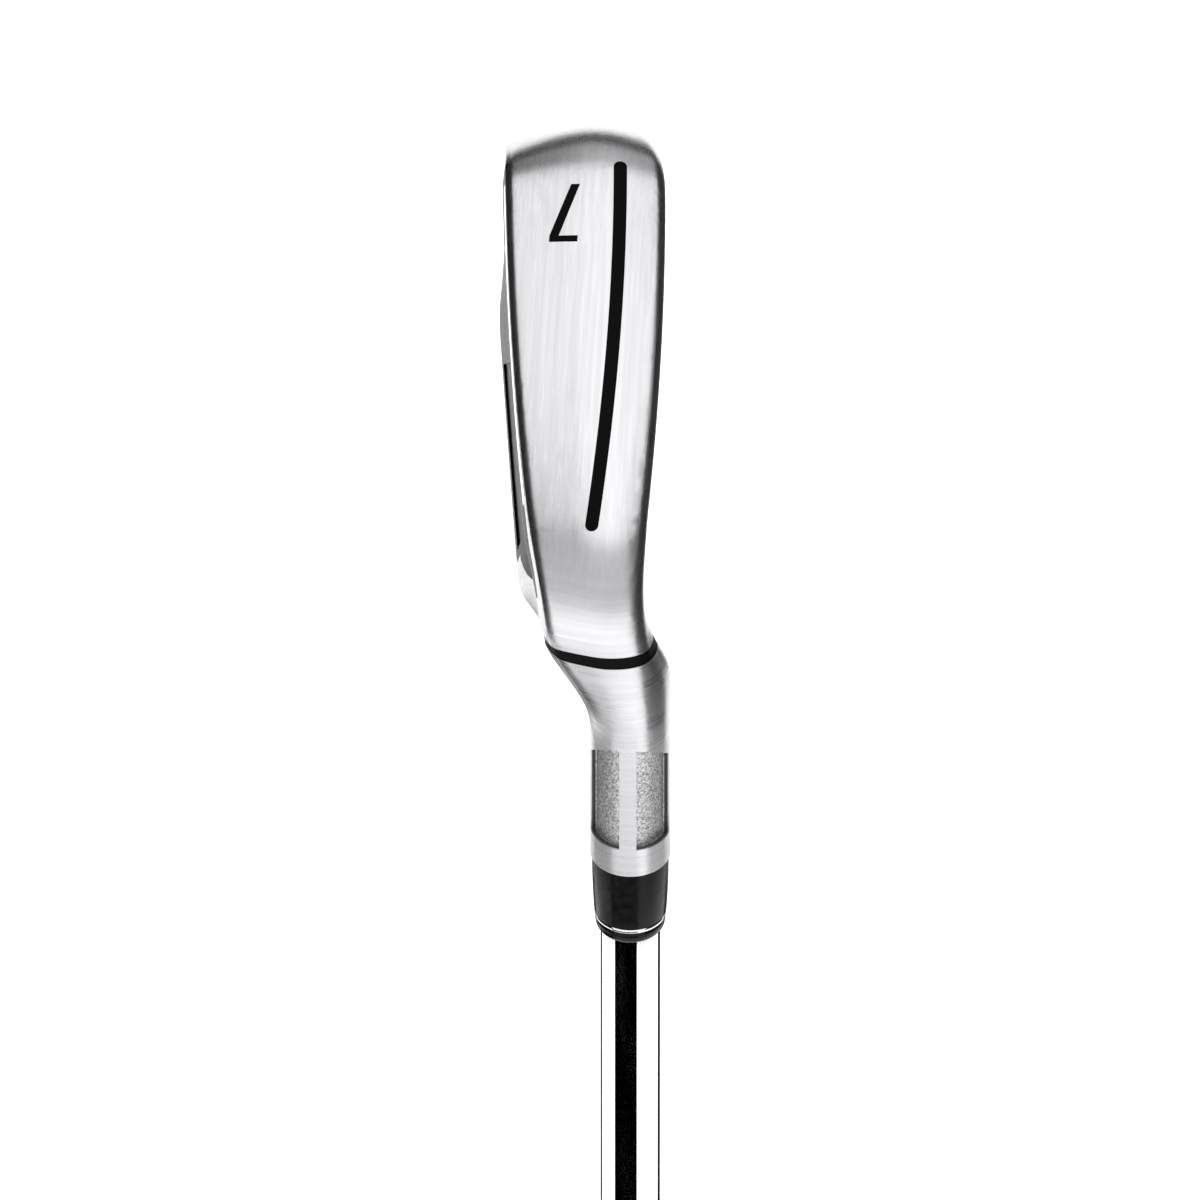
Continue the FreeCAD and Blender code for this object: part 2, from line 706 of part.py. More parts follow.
# ---------------------------------------------------------------- turned pieces on the shaft axis
def turned(profile):
    """Ring from (radius, distance from the ground point) pairs."""
    pts = [V(r, 0, CLUB_LENGTH - t) for r, t in profile]
    return Part.Face(Part.makePolygon(pts + pts[:1])).revolve(V(0, 0, 0), AXIS_Z, 360)


def turned_z(profile):
    return turned([(r, CLUB_LENGTH - z) for r, z in profile])


def ferrule_barrel():
    r = FERRULE_BORE_R
    return turned([(r, HOSEL_END), (6.12, HOSEL_END), (6.06, 68.0), (5.92, 72.0),
                   (5.72, FERRULE_T1), (r, FERRULE_T1)])


def ferrule_ring():
    r = FERRULE_BORE_R
    return turned([(r, FERRULE_T1), (5.62, FERRULE_T1), (5.66, FERRULE_T1 + 0.2),
                   (5.66, RING_T1 - 0.2), (5.62, RING_T1), (r, RING_T1)])


def ferrule_collar():
    r = FERRULE_BORE_R
    return turned([(r, RING_T1), (5.58, RING_T1), (5.56, RING_T1 + 0.9), (5.42, RING_T1 + 1.6),
                   (5.10, COLLAR_T1), (r, COLLAR_T1)])


def shaft_epoxy():
    """Glue sleeve between the hosel bore and the shaft tip."""
    return turned([(SHAFT_TIP_R, BORE_FLOOR), (BORE_R, BORE_FLOOR), (BORE_R, HOSEL_END),
                   (SHAFT_TIP_R, HOSEL_END)])


def shaft_radii():
    """Outer radius along the shaft as (radius, t), from the tip to the butt."""
    steps = [(SHAFT_TIP_R, BORE_FLOOR)]
    gain = (SHAFT_BUTT_R - SHAFT_TIP_R) / STEP_COUNT
    for i in range(STEP_COUNT):
        at = BORE_FLOOR + SHAFT_TIP_L + i * STEP_PITCH
        steps.append((SHAFT_TIP_R + i * gain, at))
        steps.append((SHAFT_TIP_R + (i + 1) * gain, at + STEP_L))
    steps.append((SHAFT_BUTT_R, CLUB_LENGTH - BUTT_Z))
    return steps


def shaft_wall(radius):
    f = (radius - SHAFT_TIP_R) / (SHAFT_BUTT_R - SHAFT_TIP_R)
    return SHAFT_WALL_TIP + (SHAFT_WALL_BUTT - SHAFT_WALL_TIP) * f


def shaft_tube():
    outside = shaft_radii()
    inside = [(r - shaft_wall(r), t) for r, t in outside]
    return turned(outside + inside[::-1])


def tip_weight():
    """Swing weight plug glued in the shaft tip."""
    r = SHAFT_TIP_R - SHAFT_WALL_TIP
    return turned([(0, BORE_FLOOR), (r, BORE_FLOOR), (r, BORE_FLOOR + 22), (r - 1.2, BORE_FLOOR + 24),
                   (0, BORE_FLOOR + 24)])


def grip_radius(z):
    """Outside of the grip: a quick flare at the butt, then a steady taper."""
    flare = GRIP_CAP_R - 12.9
    return 12.9 - (12.9 - GRIP_MOUTH_R) * z / GRIP_L + flare * math.exp(-z / 9.0)


def grip_sleeve(marks):
    inner = SHAFT_BUTT_R + TAPE_T
    outside = []
    z = GRIP_CAP_T
    for i in range(25):
        z = GRIP_CAP_T + (GRIP_L - GRIP_CAP_T) * (i / 24.0) ** 1.6
        outside.append((grip_radius(z), z))
    outside[-1] = (GRIP_MOUTH_R - 0.9, GRIP_L)
    outside.insert(-1, (GRIP_MOUTH_R, GRIP_L - 1.2))
    sleeve = turned_z([(inner, GRIP_CAP_T)] + outside + [(inner, GRIP_L)])
    return sleeve.cut(marks)


def grip_cap():
    r0 = grip_radius(GRIP_CAP_T)
    return turned_z([(VENT_R, 0), (GRIP_CAP_R - 1.6, 0), (GRIP_CAP_R - 0.5, 0.5),
                     (GRIP_CAP_R, 1.6), (r0, GRIP_CAP_T), (VENT_R, GRIP_CAP_T)])


def grip_tape():
    return turned_z([(SHAFT_BUTT_R, GRIP_CAP_T + 1), (SHAFT_BUTT_R + TAPE_T, GRIP_CAP_T + 1),
                     (SHAFT_BUTT_R + TAPE_T, GRIP_L - 3), (SHAFT_BUTT_R, GRIP_L - 3)])


def mark_boxes(depth):
    """Alignment dashes along the front of the grip."""
    boxes = []
    for i in range(6):
        z = 170.0 + i * 14.0
        r = grip_radius(z + 9.0)
        boxes.append(Part.makeBox(1.6, depth, 9.0, V(-0.8, -r, z)))
    return boxes


def main():
    pieces = head_pieces()
    pieces["shaft_epoxy"] = shaft_epoxy()
    pieces["ferrule_barrel"] = ferrule_barrel()
    pieces["ferrule_ring"] = ferrule_ring()
    pieces["ferrule_collar"] = ferrule_collar()
    pieces["shaft_tube"] = shaft_tube()
    pieces["tip_weight"] = tip_weight()
    marks = Part.makeCompound(mark_boxes(0.6))
    deep_cut = Part.makeCompound([moved(b, y=-0.5).fuse(b) for b in mark_boxes(0.6)])
    pieces["grip_sleeve"] = grip_sleeve(deep_cut)
    pieces["grip_cap"] = grip_cap()
    pieces["grip_tape"] = grip_tape()
    pieces["grip_paint_fill"] = marks
    for name in sorted(pieces):
        pieces[name].exportStep("parts/" + name + ".step")


main()
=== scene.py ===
"""A studio scene of an iron golf club: head, ferrule, stepped shaft and rubber grip."""
import math

import bpy
import numpy as np
from mathutils import Matrix
from bpy.props import FloatProperty, IntProperty, PointerProperty


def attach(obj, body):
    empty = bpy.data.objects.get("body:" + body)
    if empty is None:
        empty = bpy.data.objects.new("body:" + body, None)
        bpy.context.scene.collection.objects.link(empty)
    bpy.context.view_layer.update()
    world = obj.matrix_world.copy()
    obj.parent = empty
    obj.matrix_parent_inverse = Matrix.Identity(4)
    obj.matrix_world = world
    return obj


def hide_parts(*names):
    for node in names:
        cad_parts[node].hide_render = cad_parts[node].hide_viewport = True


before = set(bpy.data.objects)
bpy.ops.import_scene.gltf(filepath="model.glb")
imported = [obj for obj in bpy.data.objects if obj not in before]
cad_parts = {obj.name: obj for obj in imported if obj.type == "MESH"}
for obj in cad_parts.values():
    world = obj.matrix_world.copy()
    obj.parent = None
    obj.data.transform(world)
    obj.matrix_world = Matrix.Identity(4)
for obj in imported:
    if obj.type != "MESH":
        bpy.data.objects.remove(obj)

bl_info = {
    "name": "Iron club studio",
    "version": (1, 0, 0),
    "blender": (4, 5, 0),
    "location": "View3D > Sidebar > Iron club",
    "description": "Builds the visible pieces of an iron golf club and the studio round it",
    "category": "Object",
}

MM = 0.001
LENGTH = 0.940
LIE = math.radians(62.5)
HOSEL_END = 64.2 * MM          # distances along the shaft from the ground point of the head
BORE_FLOOR = 32.4 * MM
RING_AT = 75.9 * MM
COLLAR_AT = 76.7 * MM
BARREL_L = 11.7 * MM
RING_L = 0.8 * MM
RING_R = 5.68 * MM
COLLAR_L = 2.2 * MM
FERRULE_BORE = 4.71 * MM
FERRULE_SEGMENTS = 160
FLUTE_RADII = (6.25 * MM, 6.00 * MM)      # outside and inside of the edge of a flute
# radii of the flute walls, where shade is painted on as a dark colour
FLUTE_SHADE_RADII = (5.48 * MM, 5.56 * MM)
FLUTE_LOW = (880.5 * MM, 881.5 * MM)
FLUTE_HIGH = (903.2 * MM, 902.4 * MM)
STEP_L = 1.5 * MM              # one short cone of the shaft
SHAFT_WALL = 0.5 * MM

CAP_T = 4.0 * MM               # the grip, measured from the butt
VENT_R = 2.0 * MM
GRIP_BORE = 7.70 * MM
GRIP_R = 12.9 * MM
GRIP_TAPER = 2.9 * MM
SWELL = 0.7 * MM
SWELL_L = 9.0 * MM
GROOVE_PITCH = 7.0 * MM
GROOVE_TURNS = 6
GROOVE_WIDTH = 0.16
PATTERN_FROM = 22.0 * MM       # the pattern starts here and ends short of the mouth
PATTERN_SHORT = 16.0 * MM
PATTERN_FADE = 3.0 * MM
LINE_FROM = 18.0 * MM          # the two plain rings
LINE_SHORT = 12.0 * MM
LINE_WIDTH = 0.7 * MM
LINE_DEPTH = 1.4
PLAIN_FROM, PLAIN_TO = 165.0 * MM, 255.0 * MM
PLAIN_HALF = 3.2 * MM          # half width of the plain strip under the dashes
PLAIN_R = 11.0 * MM
LIP = 0.9 * MM
LIP_L = 1.3 * MM
DASHES = 6
DASH_FROM = 170.0 * MM
DASH_PITCH = 14.0 * MM
DASH_L = 9.0 * MM
DASH_HALF = 0.8 * MM
DASH_PROUD = 0.03 * MM
DASH_TUCK = 0.3 * MM

SENSOR = 36.0                  # camera sensor in millimetres
AIM_LEFT = 4.78 * MM
AIM_DOWN = 9.40 * MM
TABLE_HALF = 30.0
TABLE_Y = 10.0
SOFTBOX_SIZE = 1.5
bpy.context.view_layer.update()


# ---------------------------------------------------------------- settings
class ShaftSettings(bpy.types.PropertyGroup):
    tip_radius: FloatProperty(
        name="Tip radius", description="Radius of the parallel tip", default=0.0047, unit="LENGTH")
    butt_radius: FloatProperty(
        name="Butt radius", description="Radius under the grip", default=0.00762, unit="LENGTH")
    tip_length: FloatProperty(
        name="Tip length", description="Length of the parallel tip", default=0.240, unit="LENGTH")
    pitch: FloatProperty(
        name="Step pitch", description="Distance from step to step", default=0.0381, unit="LENGTH")
    steps: IntProperty(name="Steps", description="Number of steps", default=12, min=1)
    segments: IntProperty(
        name="Segments", description="Facets round the shaft", default=160, min=24)


class GripSettings(bpy.types.PropertyGroup):
    length: FloatProperty(
        name="Length", description="From the butt to the mouth", default=0.267, unit="LENGTH")
    relief: FloatProperty(
        name="Relief", description="Depth of the moulded pattern", default=0.00035, unit="LENGTH")
    rows: IntProperty(
        name="Rows", description="Rings of vertices along the grip", default=520, min=60)
    segments: IntProperty(
        name="Segments", description="Vertices round the grip", default=168, min=24)


class StudioSettings(bpy.types.PropertyGroup):
    azimuth: FloatProperty(
        name="Azimuth", description="Camera direction round the shaft",
        default=math.radians(3.8), subtype="ANGLE")
    elevation: FloatProperty(
        name="Elevation", description="Camera height above the horizon",
        default=math.radians(40.5), subtype="ANGLE")
    distance: FloatProperty(
        name="Distance", description="Camera to the head", default=9.0, unit="LENGTH")
    width: FloatProperty(
        name="Width", description="Width of the picture at the head",
        default=0.1880, unit="LENGTH")
    key: FloatProperty(
        name="Overhead light", description="Power of the overhead softbox", default=6.2,
        subtype="POWER")
    floor: FloatProperty(
        name="Floor glow", description="How brightly the light table glows", default=0.9)


# ---------------------------------------------------------------- numpy meshes
def grid_mesh(name, points, close_u=False, close_v=False, flip=False):
    """A mesh from one grid of points or a stack of them; either direction can close on itself."""
    index = np.arange(points.size // 3).reshape(points.shape[:-1])
    if close_u:
        index = np.concatenate([index, index[..., :1, :]], axis=-2)
    if close_v:
        index = np.concatenate([index, index[..., :1]], axis=-1)
    quads = np.stack(
        [index[..., :-1, :-1], index[..., :-1, 1:], index[..., 1:, 1:], index[..., 1:, :-1]],
        axis=-1).reshape(-1, 4)
    if flip:
        quads = quads[:, ::-1]
    mesh = bpy.data.meshes.new(name)
    mesh.from_pydata(points.reshape(-1, 3), [], quads.tolist())
    mesh.polygons.foreach_set("use_smooth", np.ones(len(quads), dtype=bool))
    mesh.update()
    obj = bpy.data.objects.new(name, mesh)
    bpy.context.scene.collection.objects.link(obj)
    return obj


def turned(name, profile, segments):
    """A closed ring: a loop of (radius, height) points turned once round the Z axis."""
    profile = np.asarray(profile)
    turn = np.linspace(0.0, 2 * math.pi, segments, endpoint=False)
    points = np.stack([
        profile[:, :1] * np.cos(turn), profile[:, :1] * np.sin(turn),
        np.repeat(profile[:, 1:], segments, axis=1)], axis=-1)
    obj = grid_mesh(name, points, close_u=True, close_v=True)
    obj.data.set_sharp_from_angle(angle=math.radians(40))
    return obj


def rounded_loop(corners, radius, steps=5):
    """A loop of (radius, height) corners with each corner eased by a small arc."""
    corners = np.asarray(corners, dtype=float)
    before = np.roll(corners, 1, axis=0) - corners
    after = np.roll(corners, -1, axis=0) - corners
    len_b = np.linalg.norm(before, axis=1, keepdims=True)
    len_a = np.linalg.norm(after, axis=1, keepdims=True)
    cut = np.minimum(radius, 0.4 * np.minimum(len_a, len_b))
    start = corners + before / len_b * cut
    end = corners + after / len_a * cut
    f = np.linspace(0.0, 1.0, steps)[None, :, None]
    curve = (
        (1 - f) ** 2 * start[:, None] + 2 * f * (1 - f) * corners[:, None] + f ** 2 * end[:, None])
    return curve.reshape(-1, 2)


# ---------------------------------------------------------------- materials
def linear(code):
    """Linear colour with alpha from an sRGB hex code."""
    values = [int(code[i:i + 2], 16) / 255 for i in (1, 3, 5)]
    straight = [v / 12.92 if v <= 0.04045 else ((v + 0.055) / 1.055) ** 2.4 for v in values]
    return (*straight, 1.0)


def add(tree, kind, inputs=None, **settings):
    """A node with its settings, its constant values and its links."""
    node = tree.nodes.new(kind)
    for key, value in settings.items():
        setattr(node, key, value)
    for key, value in (inputs or {}).items():
        if isinstance(value, bpy.types.NodeSocket):
            tree.links.new(value, node.inputs[key])
        else:
            node.inputs[key].default_value = value
    return node


def math_node(tree, operation, *values):
    """The result of one sum on values or sockets."""
    return add(tree, "ShaderNodeMath", dict(enumerate(values)), operation=operation).outputs[0]


def band(tree, value, low, high, out_low=0.0, out_high=1.0):
    """A smooth ramp of a value from low to high."""
    return add(
        tree, "ShaderNodeMapRange",
        {"Value": value, "From Min": low, "From Max": high, "To Min": out_low, "To Max": out_high},
        interpolation_type="SMOOTHSTEP").outputs["Result"]


def blank(name):
    """An empty material with its surface shader and the object's own coordinates."""
    material = bpy.data.materials.new(name)
    material.use_nodes = True
    tree = material.node_tree
    tree.nodes.clear()
    shader = add(tree, "ShaderNodeBsdfPrincipled")
    add(tree, "ShaderNodeOutputMaterial", {"Surface": shader.outputs[0]})
    place = add(tree, "ShaderNodeTexCoord").outputs["Object"]
    return material, tree, shader, place


def put(tree, shader, **values):
    """Sets or links the inputs of the surface shader."""
    for key, value in values.items():
        socket = shader.inputs[key.replace("_", " ")]
        if isinstance(value, bpy.types.NodeSocket):
            tree.links.new(value, socket)
        else:
            socket.default_value = value


def noise(tree, vector, scale, detail=2.0, roughness=0.5):
    """A noise field over a vector."""
    values = {"Vector": vector, "Scale": scale, "Detail": detail, "Roughness": roughness}
    return add(tree, "ShaderNodeTexNoise", values).outputs["Fac"]


def stretched(tree, vector, scales):
    """A vector scaled by its own factor along each axis."""
    return add(
        tree, "ShaderNodeVectorMath", {0: vector, 1: scales}, operation="MULTIPLY").outputs[0]


def mix_value(tree, factor, a, b):
    """A number between a and b."""
    return add(tree, "ShaderNodeMix", {0: factor, 2: a, 3: b}, data_type="FLOAT").outputs[0]


def mix_colour(tree, factor, a, b):
    """A colour between a and b."""
    return add(tree, "ShaderNodeMix", {0: factor, 6: a, 7: b}, data_type="RGBA").outputs[2]


def bump(tree, height, distance, strength):
    """A normal that follows a height field."""
    return add(
        tree, "ShaderNodeBump",
        {"Height": height, "Distance": distance, "Strength": strength}).outputs["Normal"]


def plain(name, colour, rough, metal=0.0, grain=0.0, grain_mm=0.5, level=0.5):
    """One material with a fine grain in its roughness and relief."""
    material, tree, shader, place = blank(name)
    field = noise(tree, place, 1.0 / (grain_mm * MM), 3.0)
    put(tree, shader, Base_Color=linear(colour), Metallic=metal, Specular_IOR_Level=level,
        Roughness=band(tree, field, 0.3, 0.7, max(rough - 0.04, 0.01), rough + 0.04))
    if grain > 0:
        put(tree, shader, Normal=bump(tree, field, grain * MM, 0.6))
    return material


def head_steel():
    """Cast stainless steel: brushed along the sole and round the neck, blasted flutes, painted
    shade on the flute walls.
    """
    material, tree, shader, place = blank("Stainless steel, brushed")
    along = add(
        tree, "ShaderNodeVectorMath", {0: place, 1: (0.0, math.sin(LIE), math.cos(LIE))},
        operation="DOT_PRODUCT").outputs["Value"]
    along = math_node(tree, "SUBTRACT", along, LENGTH * math.cos(LIE))
    up = add(
        tree, "ShaderNodeVectorMath", {0: place, 1: (0.0, math.cos(LIE), -math.sin(LIE))},
        operation="DOT_PRODUCT").outputs["Value"]
    split = add(tree, "ShaderNodeSeparateXYZ", {0: place})
    blade = add(
        tree, "ShaderNodeCombineXYZ", {"X": along, "Y": split.outputs["X"], "Z": up}).outputs[0]
    neck = band(tree, along, 0.004, -0.012)
    fine_a = noise(tree, stretched(tree, blade, (40.0, 6000.0, 3000.0)), 1.0, 2.0, 0.5)
    wide_a = noise(tree, stretched(tree, blade, (20.0, 1500.0, 700.0)), 1.0, 2.0)
    fine_b = noise(tree, stretched(tree, place, (70.0, 70.0, 4200.0)), 1.0, 2.0, 0.5)
    wide_b = noise(tree, stretched(tree, place, (30.0, 30.0, 1500.0)), 1.0, 2.0)
    fine = mix_value(tree, neck, fine_a, fine_b)
    wide = mix_value(tree, neck, wide_a, wide_b)
    radius = add(
        tree, "ShaderNodeVectorMath", {0: stretched(tree, place, (1.0, 1.0, 0.0))},
        operation="LENGTH").outputs["Value"]
    in_flute = math_node(
        tree, "MULTIPLY", band(tree, radius, *FLUTE_RADII),
        band(tree, split.outputs["Z"], *FLUTE_LOW))
    in_flute = math_node(tree, "MULTIPLY", in_flute, band(tree, split.outputs["Z"], *FLUTE_HIGH))
    # painted shade: a mask over the walls inside the flutes, where the recess lies in shade
    flute_wall_shade = math_node(tree, "MULTIPLY", in_flute, band(tree, radius, *FLUTE_SHADE_RADII))
    grain = noise(tree, place, 3000.0, 2.0, 0.6)
    grey = mix_colour(tree, band(tree, wide, 0.3, 0.7), linear("#c8c8ca"), linear("#d2d2d4"))
    blasted = mix_colour(tree, band(tree, grain, 0.35, 0.65), linear("#929192"), linear("#e0e0e1"))
    colour = mix_colour(tree, in_flute, grey, blasted)
    # painted shade: the flute walls are coloured dark grey
    colour = mix_colour(tree, flute_wall_shade, colour, linear("#454546"))
    rough = band(tree, fine, 0.3, 0.7, 0.27, 0.35)
    rough = mix_value(tree, in_flute, rough, 0.55)
    lines = mix_value(tree, in_flute, fine, grain)
    put(tree, shader, Base_Color=colour, Metallic=1.0, Roughness=rough,
        Normal=bump(tree, lines, mix_value(tree, in_flute, 0.0035 * MM, 0.02 * MM), 0.5))
    return material


def face_steel():
    """Forged face: blasted with fine grain."""
    material, tree, shader, place = blank("Steel, blasted face")
    grain = noise(tree, place, 4200.0, 3.0, 0.7)
    put(tree, shader, Metallic=1.0,
        Base_Color=mix_colour(tree, grain, linear("#a5a3a0"), linear("#c8c6c3")),
        Roughness=band(tree, grain, 0.3, 0.7, 0.36, 0.50),
        Normal=bump(tree, grain, 0.015 * MM, 0.5))
    return material


def moulded_rubber(name):
    """Matt black rubber with a fine grain and faint wear."""
    material, tree, shader, place = blank(name)
    grain = noise(tree, place, 2600.0, 4.0, 0.7)
    wear = noise(tree, place, 45.0, 3.0)
    put(tree, shader, Base_Color=mix_colour(tree, wear, linear("#1b1b1b"), linear("#242423")),
        Roughness=band(tree, grain, 0.3, 0.7, 0.62, 0.80),
        Normal=bump(tree, grain, 0.05 * MM, 0.6))
    return material


def glow(name, colour, strength):
    """A white surface that gives off its own light."""
    material, tree, shader, _ = blank(name)
    put(tree, shader, Base_Color=linear("#ffffff"), Roughness=0.8, Emission_Color=linear(colour),
        Emission_Strength=strength)
    return material


# ---------------------------------------------------------------- operators
def dress(node, material):
    """Gives a CAD node its material in every slot it has."""
    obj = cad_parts[node]
    if not obj.material_slots:
        obj.data.materials.append(material)
    for slot in obj.material_slots:
        slot.material = material


def adopt(obj, slot, material, *nodes):
    """A new piece rides on the club and stands for its CAD nodes."""
    obj.data.materials.append(material)
    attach(obj, "root")
    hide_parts(*nodes)


class CLUB_OT_head(bpy.types.Operator):
    """Dresses the head, its face, cover, fills and everything sealed inside"""
    bl_idname = "club.head"
    bl_label = "Dress the head"

    def execute(self, context):
        dress("head_body", head_steel())
        dress("face_plate", face_steel())
        dress("back_cap", plain("Black plastic, satin", "#030303", 0.30, level=0.03))
        dress("cap_trim", plain("Chrome plated bar", "#d8d8d8", 0.10, 1.0))
        dress("back_badge", plain("Aluminium, anodised grey", "#5d5f61", 0.45, 1.0, 0.01, 0.2))
        dress("slot_filler",
              plain("Black polymer, moulded", "#030303", 0.50, 0.0, 0.01, 0.3, level=0.06))
        dress("sole_number_fill", plain("Black enamel fill", "#030303", 0.45, level=0.06))
        dress("hosel_band_fill", plain("Black enamel band", "#030303", 0.45, level=0.06))
        dress("cap_bond", plain("Adhesive film", "#202020", 0.6))
        dress("damper", plain("Elastomer", "#262626", 0.7))
        dress("shaft_epoxy", plain("Cured epoxy", "#a49c84", 0.35))
        dress("tip_weight", plain("Turned brass", "#c9a05a", 0.25, 1.0))
        dress("grip_tape", plain("Paper tape", "#d8cfb4", 0.8))
        return {"FINISHED"}


class CLUB_OT_ferrule(bpy.types.Operator):
    """Turns the ferrule: a loop of radii and heights is swept once round the shaft"""
    bl_idname = "club.ferrule"
    bl_label = "Build the ferrule"

    def execute(self, context):
        bore = FERRULE_BORE
        end = LENGTH - HOSEL_END
        f = np.linspace(0.0, 1.0, 24)
        side = np.stack(
            [(6.12 - 0.22 * f - 0.20 * f ** 3) * MM, end - f * BARREL_L], axis=1)
        loop = np.vstack([[(bore, end)], side, [(bore, end - BARREL_L)]])
        barrel = turned("ferrule_barrel_skin", loop[::-1], FERRULE_SEGMENTS)
        black = plain("Black acetate, buffed", "#020203", 0.22, 0.0, 0.004, 1.5, level=0.14)
        adopt(barrel, "ferrule_black", black, "ferrule_barrel")

        top = LENGTH - RING_AT
        loop = rounded_loop(
            [(bore, top - RING_L), (RING_R, top - RING_L), (RING_R, top), (bore, top)],
            0.18 * MM)
        bright = plain("Chrome ring", "#dcdcdd", 0.09, 1.0)
        ring = turned("ferrule_ring_skin", loop, FERRULE_SEGMENTS)
        adopt(ring, "ferrule_bright", bright, "ferrule_ring")

        top = LENGTH - COLLAR_AT
        a = np.linspace(0.0, math.pi / 2, 12)
        side = np.stack(
            [(5.10 + 0.48 * np.cos(a)) * MM, top - (0.5 + 1.7 * np.sin(a)) * MM], axis=1)
        loop = np.vstack([[(bore, top), (5.52 * MM, top)], side, [(bore, top - COLLAR_L)]])
        collar = turned("ferrule_collar_skin", loop[::-1], FERRULE_SEGMENTS)
        adopt(collar, "collar_black", black, "ferrule_collar")
        return {"FINISHED"}


class CLUB_OT_shaft(bpy.types.Operator):
    """Turns the shaft: the radius grows by equal short cones from the tip to the butt"""
    bl_idname = "club.shaft"
    bl_label = "Build the shaft"

    def execute(self, context):
        s = context.scene.club_shaft
        tip = LENGTH - BORE_FLOOR
        gain = (s.butt_radius - s.tip_radius) / s.steps
        k = np.arange(s.steps)
        at = s.tip_length + k * s.pitch
        f = np.linspace(0.0, 1.0, 7)
        ease = f * f * (3 - 2 * f)
        fall = (at[:, None] + f * STEP_L).ravel()
        radius = (s.tip_radius + gain * (k[:, None] + ease)).ravel()
        flats = np.linspace(2.0 * MM, s.tip_length - 2.0 * MM, 12)
        drop = np.concatenate([[0.0], flats, fall, [tip - CAP_T]])
        parallel = np.full(1 + len(flats), s.tip_radius)
        radius = np.concatenate([parallel, radius, [s.butt_radius]])
        outer = np.stack([radius, tip - drop], axis=1)
        inner = outer[::-1] - np.array([SHAFT_WALL, 0.0])
        loop = np.vstack([outer, inner])
        shaft = turned("shaft_skin", loop[::-1], s.segments)
        material, tree, shader, place = blank("Steel tube, bright chrome plated")
        haze = noise(tree, stretched(tree, place, (400.0, 400.0, 60.0)), 1.0, 2.0)
        put(tree, shader, Base_Color=linear("#dfe0e2"), Metallic=1.0,
            Roughness=band(tree, haze, 0.3, 0.7, 0.03, 0.055))
        adopt(shaft, "shaft_chrome", material, "shaft_tube")
        return {"FINISHED"}


class CLUB_OT_grip(bpy.types.Operator):
    """Builds the grip: a tapering tube whose radius dips along two crossing sets of
    slanted grooves and round two plain rings, with six painted dashes along its front"""
    bl_idname = "club.grip"
    bl_label = "Build the grip"

    def execute(self, context):
        s = context.scene.club_grip

        def bare(z):
            """Radius without the pattern at a distance from the butt."""
            return GRIP_R - GRIP_TAPER * z / s.length + SWELL * np.exp(-z / SWELL_L)

        z = np.linspace(CAP_T, s.length, s.rows)[:, None]
        turn = np.linspace(0.0, 2 * math.pi, s.segments, endpoint=False)[None, :]
        wave_a = np.abs(np.sin(math.pi * z / GROOVE_PITCH + GROOVE_TURNS * turn))
        wave_b = np.abs(np.sin(math.pi * z / GROOVE_PITCH - GROOVE_TURNS * turn))
        groove = np.exp(-(wave_a / GROOVE_WIDTH) ** 2) + np.exp(-(wave_b / GROOVE_WIDTH) ** 2)
        inside = np.clip((z - PATTERN_FROM) / PATTERN_FADE, 0, 1)
        inside = inside * np.clip((s.length - PATTERN_SHORT - z) / PATTERN_FADE, 0, 1)
        rings = sum(
            np.exp(-((z - at) / LINE_WIDTH) ** 2) for at in (LINE_FROM, s.length - LINE_SHORT))
        front = np.angle(np.exp(1j * (turn + math.pi / 2)))
        strip = (np.abs(front) * PLAIN_R < PLAIN_HALF) & (z > PLAIN_FROM) & (z < PLAIN_TO)
        relief = s.relief * (np.minimum(groove, 1.0) * inside * ~strip + LINE_DEPTH * rings)
        lip = LIP * np.clip(1 - (s.length - z) / LIP_L, 0, 1) ** 2
        r = bare(z) - relief - lip
        skin = np.stack([r * np.cos(turn), r * np.sin(turn), z + 0 * turn], axis=-1)
        ends = np.array([s.length, CAP_T])[:, None]
        bore = np.full(ends.shape, GRIP_BORE)
        inner = np.stack([bore * np.cos(turn), bore * np.sin(turn), ends + 0 * turn], axis=-1)
        points = np.concatenate([skin, inner])
        sleeve = grid_mesh("grip_sleeve_skin", points, close_u=True, close_v=True, flip=True)
        sleeve.data.set_sharp_from_angle(angle=math.radians(60))
        adopt(sleeve, "grip_rubber", moulded_rubber("Rubber, moulded grip"), "grip_sleeve")

        loop = rounded_loop(
            [(VENT_R, 0.0), (12.4 * MM, 0.0), (13.5 * MM, 1.2 * MM),
             (float(bare(CAP_T)), CAP_T), (VENT_R, CAP_T)],
            0.6 * MM, 6)
        end = turned("grip_cap_skin", loop, s.segments)
        adopt(end, "cap_rubber", moulded_rubber("Rubber, moulded cap"), "grip_cap")

        starts = DASH_FROM + DASH_PITCH * np.arange(DASHES)[:, None, None]
        up = starts + np.linspace(0.0, DASH_L, 12)[None, :, None]
        side = np.linspace(-DASH_HALF, DASH_HALF, 7)[None, None, :]
        up, side = np.broadcast_arrays(up, side)
        tuck = np.zeros(up.shape)
        tuck[:, [0, -1], :] = DASH_TUCK
        tuck[:, :, [0, -1]] = DASH_TUCK
        lift = bare(up) + DASH_PROUD - tuck
        points = np.stack([side, -np.sqrt(lift ** 2 - side ** 2), up], axis=-1)
        paint = plain("White grip paint", "#dcdcd8", 0.5)
        dashes = grid_mesh("grip_dashes_skin", points, flip=True)
        adopt(dashes, "grip_paint", paint, "grip_paint_fill")
        return {"FINISHED"}


